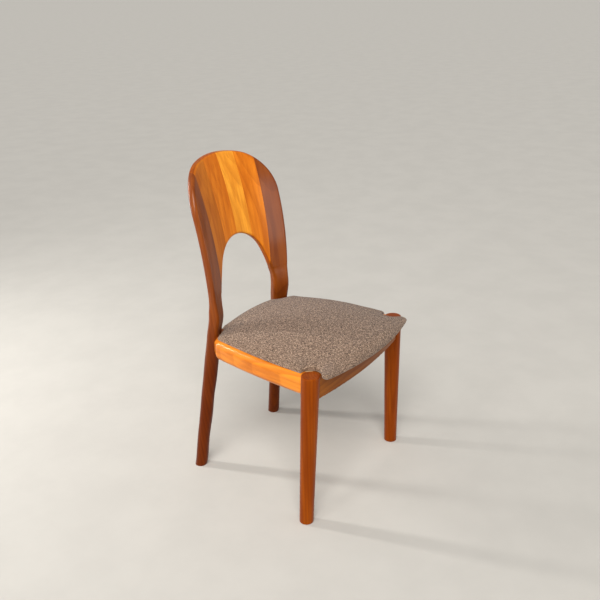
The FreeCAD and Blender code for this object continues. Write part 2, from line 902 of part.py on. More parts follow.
def make_blocks(end):
    """The two corner blocks at one end, each with two rail screws and a seat screw."""
    corners, x, y, way = block_corners(end)
    height = size("block_height")
    low = rail_top - height
    near, far = hypotenuse(corners, way)
    reach = size("block_reach").value
    sunk = size("block_nose").value / 2
    level = low.value + height.value / 2
    rail_y = y.value + way * reach * RAIL_SCREW
    rail_x = x.value - reach * RAIL_SCREW
    slope = (rail_y - far.y) / (near.y - far.y)
    to_side = Vector(far.x + (near.x - far.x) * slope + sunk, rail_y, level)
    slope = (rail_x - far.x) / (near.x - far.x)
    to_end = Vector(rail_x, far.y + (near.y - far.y) * slope - way * sunk, level)
    seat_at = Vector(x.value - reach * SEAT_SCREW, y.value + way * reach * SEAT_SCREW, low.value)
    made = []
    for side_name, side in SIDES:
        blank = slab(f"corner_block_{end}_{side_name}_blank", mirrored(corners, side), low, height)
        fitted = boolean("Part::Cut", f"corner_block_{end}_{side_name}_fitted", blank, all_legs)
        places = [
            ("side", to_side, Vector(1, 0, 0), size("block_screw_length")),
            ("end", to_end, Vector(0, -way, 0), size("block_screw_length")),
            ("seat", seat_at, Vector(0, 0, 1), size("seat_screw_length")),
        ]
        tools = []
        for kind, place, heading, length in places:
            here = Vector(place.x * side, place.y, place.z)
            turned = Vector(heading.x * side, heading.y, heading.z)
            solid, clearance, pilot = screw(f"{kind}_screw_{end}_{side_name}", here, turned, length)
            made.append((kind, solid, pilot))
            tools += clearance
        holes_here = gather(f"corner_block_{end}_{side_name}_holes", tools)
        finish(f"corner_block_{end}_{side_name}",
               boolean("Part::Cut", f"corner_block_{end}_{side_name}_cut", fitted, holes_here))
    return made


screws = make_blocks("front") + make_blocks("rear")
finish("block_screws", gather("block_screw_set", [solid for kind, solid, _ in screws if kind != "seat"]))
finish("seat_screws", gather("seat_screw_set", [solid for kind, solid, _ in screws if kind == "seat"]))
rail_pilots = gather("rail_pilots", [pilot for kind, _, pilot in screws if kind != "seat"])
seat_pilots = gather("seat_pilots", [pilot for kind, _, pilot in screws if kind == "seat"])

for side_name, _ in SIDES:
    finish(f"front_leg_{side_name}",
           boolean("Part::Cut", f"front_leg_{side_name}_cut", front_legs[side_name], dowel_holes[side_name]))
    finish(f"rear_leg_{side_name}",
           boolean("Part::Cut", f"rear_leg_{side_name}_cut", rear_legs[side_name], dowel_holes[side_name]))
    jointed = boolean("Part::Cut", f"side_rail_{side_name}_jointed", side_rails[side_name],
                      dowel_holes[side_name])
    finish(f"side_rail_{side_name}",
           boolean("Part::Cut", f"side_rail_{side_name}_cut", jointed, rail_pilots))
for name, rail, neighbours in (("front_rail", front_rail, all_legs), ("rear_rail", rear_rail, butts)):
    shouldered = boolean("Part::Cut", name + "_shouldered", drilled(name, rail), neighbours)
    finish(name, boolean("Part::Cut", name + "_cut", shouldered, rail_pilots))

# -------------------------------------------------------------------------- seat pad

# Where the notch round a front leg leaves the pad's front and side, seen from the leg.
NOTCH_START = math.radians(-100)
NOTCH_END = math.radians(76)


def pad_outline(inset):
    """Plan of the pad: bowed front with two ears, a notch round each front leg, a tongue."""
    inset = as_size(inset)
    leg_x, leg_y = front_leg_at(1, size("seat_height"))
    notch = front_leg_radius(size("seat_height")) + size("pad_gap") + inset
    start = (leg_x + notch * math.cos(NOTCH_START), leg_y + notch * math.sin(NOTCH_START))
    stop = (leg_x + notch * math.cos(NOTCH_END) - inset, leg_y + notch * math.sin(NOTCH_END))
    ear = (start[0] - inset, start[1] - size("pad_corner_reach") + inset)
    front_bow = ear[1] - (front_edge + inset)
    bow = (ear[0] * ear[0] + front_bow * front_bow) / (front_bow * 2)
    stile_x, stile_y = rear_leg_at(1, size("seat_height"))
    stile_front = stile_y - size("rear_leg_diameter") / 2 - size("pad_gap") - inset
    neck_x, neck_y, _ = neck_place(1)
    slope = neck_x / (neck_y - hollow_centre)
    rear_x = side_rail_lines()["outer_rear"][0] - size("pad_side_inset") * 2 - inset
    rear = (rear_x, stile_front - (rear_x - stile_x) * slope)
    side_bow = arc_radius(stop, rear, size("side_rail_bow"))
    tongue_x = size("opening_width") / 2 - size("pad_tongue_gap") - inset
    crook_x = tongue_x + size("pad_gap")
    crook_y = stile_front + (stile_x - crook_x) * slope
    right = [
        (*ear, None),
        (*start, -notch),
        (*stop, side_bow),
        (*rear, None),
        (crook_x, crook_y, None),
        (tongue_x, crook_y + size("pad_tongue"), None),
    ]
    left = [(-x, y, None) for x, y, _ in reversed(right)]
    radii = [None, None, side_bow, -notch, None, bow]
    left = [(x, y, radius) for (x, y, _), radius in zip(left, radii)]
    return right + left


def crowned_pad(name, inset, low):
    """The pad's solid: its plan, with eased corners, carried up to a shallow dome."""
    inset = as_size(inset)
    height = size("pad_crown")
    body = slab(name + "_plan", pad_outline(inset), low, height)
    ear, _, _, rear = pad_outline(inset)[:4]

    def is_corner(edge):
        box = edge.BoundBox
        near = [abs(abs(box.XMax) - x.value) + abs(box.YMax - y.value) for x, y, _ in (ear, rear)]
        return span_z(edge) > 1 and min(near) < 0.1
    eased = rounded(body, name + "_corners", size("pad_corner_round") - inset, is_corner)
    dome = doc.addObject("Part::Sphere", name + "_dome")
    dome_radius = size("pad_crown_radius") - inset
    bind(dome, "Radius", dome_radius)
    bind(dome, "Placement.Base.y", (front_edge + rear_leg_at(1, size("seat_height"))[1]) / 2)
    bind(dome, "Placement.Base.z", rail_top + size("pad_crown") - size("pad_crown_radius"))
    doc.recompute()
    return boolean("Part::Common", name, eased, dome)


cover_under = rail_top
board_under = cover_under + size("cover_thickness")
board_top = board_under + size("board_thickness")
outer_pad = crowned_pad("pad_outside", 0, cover_under)
inner_pad = crowned_pad("pad_inside", size("cover_thickness"), board_under)
board_blank = slab("seat_board_blank", pad_outline(size("cover_thickness") + size("board_inset")),
                   board_under, size("board_thickness"))

foam = boolean("Part::Cut", "seat_foam_shape", inner_pad, board_blank)
finish("seat_foam", foam)
finish("seat_board", boolean("Part::Cut", "seat_board_shape",
                             boolean("Part::Common", "seat_board_plan_shape", board_blank, inner_pad),
                             seat_pilots))
hem_hole = slab("hem_opening", pad_outline(size("hem_width")), cover_under - 1, size("cover_thickness") + 2)
sleeve = boolean("Part::Cut", "cover_sleeve", outer_pad, inner_pad)
hemmed = boolean("Part::Cut", "seat_cover_hemmed", sleeve, hem_hole)
finish("seat_cover", boolean("Part::Cut", "seat_cover_shape", hemmed, seat_pilots))


def staple_places():
    """Points round the hem, and the way along it, one staple pitch apart."""
    lines = slab("staple_line", pad_outline(size("hem_width") - size("staple_leg")), cover_under, 1)
    low = min(lines.Shape.Faces, key=lambda face: face.CenterOfMass.z)
    wire = low.OuterWire
    places = []
    for edge in wire.Edges:
        count = int(edge.Length // size("staple_pitch").value)
        for step in range(count):
            at = edge.FirstParameter + (edge.LastParameter - edge.FirstParameter) * (step + 0.5) / count
            places.append((edge.valueAt(at), edge.tangentAt(at)))
    return places


def make_staples():
    """Wire staples through the hem into the board: a crown below and two legs."""
    crown, wire, leg = size("staple_crown"), size("staple_wire"), size("staple_leg")
    made = []
    for number, (place, along) in enumerate(staple_places()):
        turn = Rotation(Vector(1, 0, 0), Vector(along.x, along.y, 0))
        parts = []
        for kind, offset, wide, tall in (("crown", -crown / 2, crown, wire),
                                         ("leg_a", -crown / 2, wire, leg + wire),
                                         ("leg_b", crown / 2 - wire, wire, leg + wire)):
            box = doc.addObject("Part::Box", f"staple_{number}_{kind}")
            bind(box, "Length", wide)
            bind(box, "Width", wire)
            bind(box, "Height", tall)
            corner = turn.multVec(Vector(offset.value, -wire.value / 2, 0))
            box.Placement = Placement(Vector(place.x, place.y, cover_under.value) + corner, turn)
            parts.append(box)
        staple = doc.addObject("Part::MultiFuse", f"staple_{number}")
        staple.Shapes = parts
        made.append(staple)
    doc.recompute()
    return made


staples = make_staples()
finish("cover_staples", gather("staple_set", staples))
for name in ("seat_cover", "seat_board"):
    source = finished[name]
    source.Label = name + "_unstapled"
    finish(name, boolean("Part::Cut", name + "_stapled", source, finished["cover_staples"]))

# ---------------------------------------------------------------------- check and write

doc.recompute()
os.makedirs("parts", exist_ok=True)
for item in doc.Objects:
    if {"Invalid", "Error"} & set(item.State):
        raise RuntimeError(f"{item.Label} did not compute: {item.State}")
for name, item in finished.items():
    shape = item.Shape
    if shape.isNull() or not shape.isValid() or not shape.Solids:
        raise RuntimeError(f"{name} has no sound solid")
    shape.exportStep(f"parts/{name}.step")
    print(f"{name}: {len(shape.Solids)} solids, {shape.Volume / 1000:.1f} cm3")
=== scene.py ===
import math

import bmesh
import bpy
import numpy as np
from bpy.props import FloatProperty, FloatVectorProperty, PointerProperty
from bpy.types import Operator, Panel, PropertyGroup
from mathutils import Euler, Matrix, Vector


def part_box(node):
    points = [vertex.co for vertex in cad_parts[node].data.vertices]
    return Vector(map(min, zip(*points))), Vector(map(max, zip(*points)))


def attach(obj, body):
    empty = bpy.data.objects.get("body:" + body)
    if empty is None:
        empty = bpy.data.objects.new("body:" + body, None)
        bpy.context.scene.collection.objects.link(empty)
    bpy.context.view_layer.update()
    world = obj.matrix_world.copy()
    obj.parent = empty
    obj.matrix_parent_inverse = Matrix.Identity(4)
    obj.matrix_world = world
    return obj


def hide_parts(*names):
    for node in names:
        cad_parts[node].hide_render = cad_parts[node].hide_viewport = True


bl_info = {
    "name": "Arched-back Dining Chair",
    "version": (1, 0, 0),
    "blender": (4, 5, 0),
    "location": "View3D > Sidebar > Chair",
    "description": "Finishes a dining chair: oiled timber, a tweed seat pad and a plain stage",
    "category": "Object",
}

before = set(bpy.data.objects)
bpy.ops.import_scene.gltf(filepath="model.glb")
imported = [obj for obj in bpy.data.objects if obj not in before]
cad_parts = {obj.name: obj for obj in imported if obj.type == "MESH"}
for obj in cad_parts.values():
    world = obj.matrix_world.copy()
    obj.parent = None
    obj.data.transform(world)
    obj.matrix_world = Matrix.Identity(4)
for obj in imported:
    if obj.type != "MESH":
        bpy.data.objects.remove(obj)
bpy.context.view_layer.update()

LEFT, RIGHT = -1, 1
rail_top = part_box("side_rail_left")[1].z
pad_low, pad_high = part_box("seat_cover")
board_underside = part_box("seat_board")[0].z

# Centre of the right front leg's top, and the radius of the pad's notch round it.
LEG_TOP = (0.230, -0.207)
NOTCH_RADIUS = 0.0268
# Directions from the leg in which the notch meets the front and the side of the pad.
NOTCH_START, NOTCH_END = math.radians(-100.0), math.radians(-284.0)
# How far behind its front edge the pad's ears end, and how far its sides bow out.
EAR_DEPTH = 0.033
SIDE_BOW = 0.007
# Right rear corner of the pad, then both ends of its edge beside the stile, right to left.
REAR_CORNER, CROOK, TONGUE = (0.1925, 0.1450), (0.131, 0.1665), (0.127, 0.1800)
# Points round the pad's edge, the middle of its rings, and where it stands highest along Y.
PAD_STEPS = 900
RING_MIDDLE = (0.0, -0.058)
DOME_MIDDLE = -0.069
# Clearance of the pad's foot over the rails, and how far in its lip's steps and its hollow stand.
PAD_LIFT = 0.0005
LIP_STEPS = (0.003, 0.006, 0.008)
HOLLOW_INSET = 0.009
# Heights of the lip's last step over the foot, and of the hollow over the board's underside.
LIP_RISE = 0.003
HOLLOW_RISE = 0.005
# How square the pad's shoulder is, and the span over which its dome runs out to the ears.
SHOULDER_POWER = 2.6
DOME_BLEND = 0.005
# Pressure of the filling, the frames that it needs, and the band above the rails where it is held.
FILLING_PRESSURE = 4.0
SWELL_FRAMES = 20
HELD_BELOW, HELD_BAND = 0.004, 0.006
# Pleats in a full turn round a leg, and where they are deepest: from the leg and above the rails.
PLEATS = 11.0
PLEAT_RADIUS, PLEAT_REACH = 0.028, 0.020
PLEAT_FOOT, PLEAT_RISE = 0.008, 0.012
# Height over the rails at which the cloth's map turns down the sides.
MAP_SHOULDER = 0.025
# Turns that bring each piece's grain upright: the leaning back, the side rails, the cross rails
# and the corner blocks.
BACK_LEAN = (math.radians(8.0), 0.0, 0.0)
ALONG_Y = (math.radians(90.0), 0.0, 0.0)
ALONG_X = (0.0, math.radians(90.0), 0.0)
ACROSS_CORNER = (0.0, math.radians(90.0), math.radians(45.0))
# The oil's film, and the light that it sends back from the wood.
COAT_ROUGHNESS = 0.17
WOOD_SPECULAR = 0.14
WOOD_TINT = (1.0, 0.62, 0.32, 1.0)
# Painted shade: what the wood's colour is multiplied by at the floor, and how far from the rails it
# changes.
PAINTED_FOOT_SHADE = (0.42, 0.25, 0.10)
PAINTED_SHADE_BAND = 0.15
# How much of the paler, rubbed colour shows at the edges.
RUBBED_SHARE = 0.35
# Half the width of the floor, and how far the camera sees.
FLOOR_REACH = 400.0
SIGHT = 2000.0


# ------------------------------------------------------------------ sizes and colours


def length(name, description, default, low=0.0, high=1.0):
    """A setting in metres."""
    return FloatProperty(name=name, description=description, default=default, min=low, max=high,
                         subtype="DISTANCE", unit="LENGTH", precision=4)


def colour(name, description, default):
    """A colour setting."""
    return FloatVectorProperty(name=name, description=description, default=default, size=3,
                               subtype="COLOR", min=0.0, max=1.0)


def share(name, description, default):
    """A setting from none to all."""
    return FloatProperty(name=name, description=description, default=default, min=0.0, max=1.0,
                         subtype="FACTOR")


class ChairTimber(PropertyGroup):
    """Colours and gloss of the oiled wood."""

    dark_stave: colour("Outer staves", "Dark boards that run down into the rear legs",
                       (0.270, 0.062, 0.006))
    brown_stave: colour("Brown stave", "Board beside the left outer stave", (0.61, 0.178, 0.012))
    warm_stave: colour("Warm staves", "Boards each side of the palest one", (0.79, 0.226, 0.013))
    light_stave: colour("Palest stave", "Board right of the middle", (1.0, 0.395, 0.035))
    leg_wood: colour("Front legs", "Red-brown of the front legs", (0.33, 0.068, 0.002))
    rail_wood: colour("Side rails", "Orange of the side rails", (0.76, 0.238, 0.020))
    # Partly the cross rails' own brown wood and partly painted shade: darker than the side rails,
    # for the shade under the pad.
    cross_wood_and_shade: colour("Cross rails", "Brown of the front and rear rails", (0.27, 0.078, 0.005))
    block_wood: colour("Blocks", "Pale wood of the corner blocks and dowels", (0.62, 0.43, 0.24))
    ring_width: length("Ring width", "Spacing of the growth rings", 0.011, 0.001, 0.05)
    coat: share("Oil coat", "How much the rubbed oil shines above the wood", 0.16)


class ChairPad(PropertyGroup):
    """Shape of the upholstered seat pad."""

    crown: length("Crown", "Height of the middle of the pad above the seat rails", 0.0535)
    side_radius: length("Radius across", "Radius of the crown from side to side", 0.65, 0.2, 5.0)
    front_radius: length("Radius along", "Radius of the crown from front to back", 1.02, 0.2, 5.0)
    least_edge: length("Least thickness", "Height above the rails that the ears keep", 0.0130)
    edge_round: length("Edge round", "How far in from the side the top starts to roll over", 0.026)
    slack: length("Cutting allowance", "How much smaller the pad is cut than it swells to", 0.0012)
    swell: length("Most swelling", "The furthest that the filling may push the cloth out", 0.004)
    voxel: length("Cloth cell", "Cell size of the cloth that is swelled", 0.0050, 0.003, 0.02)
    hem_width: length("Hem", "How far the cloth is turned in under the board", 0.030)
    pleat_depth: length("Pleat depth", "Depth of the pleats round the legs", 0.0009, 0.0, 0.01)


class ChairTweed(PropertyGroup):
    """The woven cover."""

    pale_yarn: colour("Pale yarn", "Lightest fleck", (0.54, 0.375, 0.255))
    middle_yarn: colour("Middle yarn", "Main taupe", (0.235, 0.146, 0.094))
    dark_yarn: colour("Dark yarn", "Darkest fleck", (0.065, 0.034, 0.019))
    yarn_pitch: length("Yarn pitch", "Distance between neighbouring yarns", 0.0019, 0.0005, 0.02)


class ChairStage(PropertyGroup):
    """Camera, lamps and floor."""

    camera_place: FloatVectorProperty(
        name="Camera place", description="Where the camera stands", size=3,
        default=(-1.72516, -1.20566, 1.41422), subtype="TRANSLATION", unit="LENGTH")
    camera_turn: FloatVectorProperty(
        name="Camera turn", description="Camera rotation, X then Y then Z", size=3,
        default=(1.178088, 0.016210, -0.975371), subtype="EULER", unit="ROTATION")
    lens: FloatProperty(
        name="Lens", description="Focal length", default=46.51, min=10.0, max=200.0,
        subtype="DISTANCE_CAMERA", unit="CAMERA")
    floor: colour("Floor", "Pale matt floor", (0.52, 0.49, 0.44))
    sky: colour("Surroundings", "Soft light from all round", (0.96, 0.98, 1.0))
    sky_strength: share("Surroundings' strength", "How strong the light from all round is", 0.40)


# ------------------------------------------------------------------------ mesh helpers


def surface(name, points, wrap_rows=False, wrap_columns=False):
    """A mesh object from a grid of points, rows by columns, with a four-sided face to each cell."""
    rows, columns = points.shape[:2]
    index = np.arange(rows * columns).reshape(rows, columns)
    if wrap_rows:
        index = np.vstack([index, index[:1]])
    if wrap_columns:
        index = np.hstack([index, index[:, :1]])
    faces = np.stack([index[:-1, :-1], index[:-1, 1:], index[1:, 1:], index[1:, :-1]], axis=-1)
    mesh = bpy.data.meshes.new(name)
    mesh.from_pydata(points.reshape(-1, 3).tolist(), [], faces.reshape(-1, 4).tolist())
    piece = bpy.data.objects.new(name, mesh)
    bpy.context.scene.collection.objects.link(piece)
    close_up(mesh)
    return piece


def close_up(mesh):
    """Merge coincident points, drop empty faces, turn all faces outwards and shade smooth."""
    work = bmesh.new()
    work.from_mesh(mesh)
    bmesh.ops.remove_doubles(work, verts=work.verts, dist=1e-6)
    bmesh.ops.dissolve_degenerate(work, edges=work.edges, dist=1e-7)
    bmesh.ops.recalc_face_normals(work, faces=work.faces)
    work.to_mesh(mesh)
    work.free()
    mesh.polygons.foreach_set("use_smooth", np.ones(len(mesh.polygons), bool))
    mesh.update()


def points_of(mesh):
    """The mesh's points, one to a row."""
    points = np.empty(len(mesh.vertices) * 3)
    mesh.vertices.foreach_get("co", points)
    return points.reshape(-1, 3)


def normals_of(mesh):
    """The mesh's point normals, one to a row."""
    normals = np.empty(len(mesh.vertices) * 3)
    mesh.vertex_normals.foreach_get("vector", normals)
    return normals.reshape(-1, 3)


def set_points(mesh, points):
    """Move the mesh's points."""
    mesh.vertices.foreach_set("co", np.ascontiguousarray(points, dtype=np.float64).ravel())
    mesh.update()


def paint(piece, material):
    """Give a new piece its finish."""
    piece.data.materials.clear()
    piece.data.materials.append(material)


def paint_node(name, material):
    """Give a packed node its finish without touching its mesh."""
    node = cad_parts[name]
    if not node.material_slots:
        node.data.materials.append(material)
    for holder in node.material_slots:
        holder.link = "OBJECT"
        holder.material = material


# ---------------------------------------------------------------------- material tools


class Wiring:
    """Adds nodes to a tree and joins them, with values or other nodes' outputs as inputs."""

    def __init__(self, tree):
        self.tree = tree

    def add(self, kind, inputs=None, **settings):
        node = self.tree.nodes.new(kind)
        for key, value in settings.items():
            setattr(node, key, value)
        for key, value in (inputs or {}).items():
            socket = node.inputs[key]
            if isinstance(value, bpy.types.NodeSocket):
                self.tree.links.new(value, socket)
            else:
                socket.default_value = value
        return node

    def math(self, operation, first, second=0.0, third=0.0):
        """A sum of up to three numbers."""
        node = self.add("ShaderNodeMath", {0: first, 1: second, 2: third}, operation=operation)
        return node.outputs[0]

    def vector(self, operation, first, second, output=0):
        """A sum of two vectors, or of a vector and a number where the operation is SCALE."""
        key = 3 if operation == "SCALE" else 1
        node = self.add("ShaderNodeVectorMath", {0: first, key: second}, operation=operation)
        return node.outputs[output]

    def ramp(self, value, low, high):
        """0 up to low, 1 from high on, with a smooth change between."""
        node = self.add("ShaderNodeMapRange", {0: value, 1: low, 2: high},
                        interpolation_type="SMOOTHSTEP")
        return node.outputs[0]

    def split(self, vector):
        """The three parts of a vector."""
        return self.add("ShaderNodeSeparateXYZ", {0: vector}).outputs

    def mix(self, amount, first, second, blend="MIX"):
        """The first colour turning into the second as amount goes from 0 to 1."""
        node = self.add("ShaderNodeMix", data_type="RGBA", blend_type=blend)
        node.clamp_factor = True
        for key, value in ((0, amount), (6, first), (7, second)):
            socket = node.inputs[key]
            if isinstance(value, bpy.types.NodeSocket):
                self.tree.links.new(value, socket)
            else:
                socket.default_value = value
        return node.outputs[2]

    def shaded(self, colour_in, tint):
        """A colour multiplied by a plain tint."""
        return self.mix(1.0, colour_in, rgba(tint), "MULTIPLY")

    def noise(self, vector, scale, detail=2.0, roughness=0.5, output=0):
        """Smooth noise, as a number from output 0 or as a colour from output 1."""
        node = self.add("ShaderNodeTexNoise", {"Vector": vector, "Scale": scale, "Detail": detail,
                                               "Roughness": roughness})
        return node.outputs[output]

    def stretch(self, vector, scale):
        """A vector multiplied part by part."""
        return self.vector("MULTIPLY", vector, scale)

    def wander(self, vector, scale, amount):
        """A vector pushed about by up to half of amount, by noise of the given scale."""
        push = self.vector("SUBTRACT", self.noise(vector, scale, output=1), (0.5, 0.5, 0.5))
        return self.vector("SCALE", push, amount)


def new_group(name, inputs, outputs):
    """An empty shader node group with named sockets: (name, socket type, default)."""
    group = bpy.data.node_groups.new(name, "ShaderNodeTree")
    for label, kind, default in inputs:
        socket = group.interface.new_socket(name=label, in_out="INPUT", socket_type=kind)
        if default is not None:
            socket.default_value = default
    for label, kind in outputs:
        group.interface.new_socket(name=label, in_out="OUTPUT", socket_type=kind)
    wiring = Wiring(group)
    source = wiring.add("NodeGroupInput")
    sink = wiring.add("NodeGroupOutput")
    return group, wiring, source.outputs, sink.inputs


def rgba(values, factor=1.0):
    """A colour with its alpha, made darker or lighter by factor."""
    return (*(value * factor for value in values), 1.0)


def new_material(name):
    """An empty material and its wiring."""
    material = bpy.data.materials.new(name)
    material.use_nodes = True
    wiring = Wiring(material.node_tree)
    wiring.tree.nodes.clear()
    return material, wiring


def timber_group():
    """Oiled timber with its grain along Z: rings about a far-off heart, dark end grain and pores.

    Rings: the distance from the heart, pushed about by noise that is long in Z, divided by the ring
    width. Each ring darkens slowly and ends sharply. Streaks and pores are noise stretched along Z.
    Painted shade: the rim input darkens the parts that face sideways, the edges of the staves, and
    End Grain darkens the ends.
    """
    group, w, given, made = new_group(
        "Oiled timber",
        [("Vector", "NodeSocketVector", None), ("Normal", "NodeSocketVector", None),
         ("Wood", "NodeSocketColor", None), ("Ring Width", "NodeSocketFloat", 0.0065),
         ("Figure", "NodeSocketFloat", 0.5), ("Wander", "NodeSocketFloat", 0.02),
         ("Rim", "NodeSocketFloat", 0.0), ("End Grain", "NodeSocketFloat", 0.4)],
        [("Color", "NodeSocketColor"), ("Roughness", "NodeSocketFloat"),
         ("Height", "NodeSocketFloat")])
    spot = given["Vector"]
    pushed = w.wander(w.stretch(spot, (1.0, 1.0, 0.10)), 7.0, given["Wander"])
    flat = w.stretch(w.vector("ADD", spot, pushed), (1.0, 1.0, 0.035))
    distance = w.add("ShaderNodeVectorMath", {0: flat}, operation="LENGTH").outputs["Value"]
    within = w.math("FRACT", w.math("DIVIDE", distance, given["Ring Width"]))
    late = w.math("MULTIPLY", w.ramp(within, 0.25, 0.92), w.ramp(within, 1.0, 0.93))
    streak = w.noise(w.stretch(spot, (1.0, 1.0, 0.030)), 120.0, 3.0, 0.6)
    fine = w.noise(w.stretch(spot, (1.0, 1.0, 0.05)), 900.0, 2.0, 0.6)
    broad = w.noise(w.stretch(spot, (1.0, 1.0, 0.12)), 34.0, 2.0, 0.5)
    facing = w.split(given["Normal"])
    upright = w.ramp(w.math("ABSOLUTE", facing[2]), 0.45, 0.95)
    end_grain = w.math("MULTIPLY", upright, given["End Grain"])
    # Painted shade on the faces that turn sideways; the end grain's darker tone is the wood's own.
    sideways = w.ramp(w.math("ABSOLUTE", facing[1]), 0.80, 0.35)
    rim = w.math("MULTIPLY", sideways, given["Rim"])
    ring_tone = w.math("MULTIPLY", late, given["Figure"])
    streak_tone = w.math("MULTIPLY", w.ramp(streak, 0.40, 0.75), 0.30)
    pore_tone = w.math("MULTIPLY", w.ramp(fine, 0.45, 0.75), 0.18)
    shade = w.math("ADD", w.math("ADD", ring_tone, streak_tone), pore_tone)
    deep = w.shaded(given["Wood"], (0.50, 0.36, 0.26))
    banded = w.shaded(given["Wood"], (0.80, 0.70, 0.60))
    pale = w.mix(w.ramp(broad, 0.38, 0.62), banded, given["Wood"])
    grained = w.mix(shade, pale, deep)
    # Darker end grain, the wood's own, and painted shade on the sideways faces.
    end_grain_and_edge_shade = w.mix(w.math("MAXIMUM", end_grain, rim), grained, w.shaded(grained, (0.40, 0.26, 0.20)))
    w.tree.links.new(end_grain_and_edge_shade, made["Color"])
    rough = w.math("ADD", w.math("MULTIPLY", fine, 0.16), w.math("MULTIPLY_ADD", late, 0.06, 0.25))
    w.tree.links.new(rough, made["Roughness"])
    high = w.math("SUBTRACT", w.math("MULTIPLY", fine, 0.6), w.math("MULTIPLY", late, 0.4))
    w.tree.links.new(high, made["Height"])
    return group


def wear_group():
    """Rubbed edges: where the surface turns sharply within the reach, broken up by noise."""
    group, w, given, made = new_group(
        "Rubbed edges",
        [("Vector", "NodeSocketVector", None), ("Reach", "NodeSocketFloat", 0.002)],
        [("Mask", "NodeSocketFloat")])
    soft = w.add("ShaderNodeBevel", {"Radius": given["Reach"]}, samples=4).outputs[0]
    plain = w.add("ShaderNodeNewGeometry").outputs["Normal"]
    same = w.vector("DOT_PRODUCT", soft, plain, "Value")
    turned = w.ramp(same, 0.995, 0.90)
    patchy = w.ramp(w.noise(given["Vector"], 60.0, 3.0, 0.6), 0.35, 0.65)
    w.tree.links.new(w.math("MULTIPLY", turned, patchy), made["Mask"])
    return group


def timber(name, groups, wood, heart, turn=(0.0, 0.0, 0.0), coat=None, foot=0.0, **amounts):
    """A timber finish. heart is the middle of the tree in the piece's own turned place.

    foot is how much painted shade darkens the wood at the floor end, and how much duller its coat
    is there, than above the seat.
    """
    settings = bpy.context.scene.chair_timber
    material, w = new_material(name)
    spot = w.add("ShaderNodeTexCoord").outputs
    place = w.add("ShaderNodeMapping", {"Vector": spot["Object"], "Rotation": turn,
                                        "Location": heart})
    facing = w.add("ShaderNodeMapping", {"Vector": spot["Normal"], "Rotation": turn})
    grain = w.add("ShaderNodeGroup", node_tree=groups["timber"])
    height = w.split(spot["Object"])[2]
    # Painted shade: from the rails down, the wood's colour is darkened towards the floor by foot.
    low = w.math("MULTIPLY", w.ramp(height, rail_top + PAINTED_SHADE_BAND, rail_top - PAINTED_SHADE_BAND), foot)
    painted_shade_wood = rgba([value * part for value, part in zip(wood, PAINTED_FOOT_SHADE)])
    w.tree.links.new(w.mix(low, rgba(wood), painted_shade_wood), grain.inputs["Wood"])
    grain.inputs["Ring Width"].default_value = settings.ring_width
    for key, value in amounts.items():
        grain.inputs[key.replace("_", " ").title()].default_value = value
    w.tree.links.new(place.outputs[0], grain.inputs["Vector"])
    w.tree.links.new(facing.outputs[0], grain.inputs["Normal"])
    wear = w.add("ShaderNodeGroup", {"Vector": spot["Object"]}, node_tree=groups["wear"])
    plain = grain.outputs["Color"]
    rub = w.math("MULTIPLY", wear.outputs["Mask"], RUBBED_SHARE)
    rubbed = w.mix(rub, plain, w.shaded(plain, (1.5, 1.45, 1.4)))
    bump = w.add("ShaderNodeBump", {"Height": grain.outputs["Height"], "Strength": 0.10,
                                    "Distance": 0.0004})
    coat = settings.coat if coat is None else coat
    polish = w.math("MULTIPLY", w.math("SUBTRACT", 1.0, low), coat) if foot else coat
    shader = w.add("ShaderNodeBsdfPrincipled", {
        "Base Color": rubbed, "Roughness": grain.outputs["Roughness"], "Normal": bump.outputs[0],
        "Coat Weight": polish, "Coat Roughness": COAT_ROUGHNESS,
        "Specular IOR Level": WOOD_SPECULAR, "Specular Tint": WOOD_TINT})
    w.add("ShaderNodeOutputMaterial", {"Surface": shader.outputs[0]})
    return material


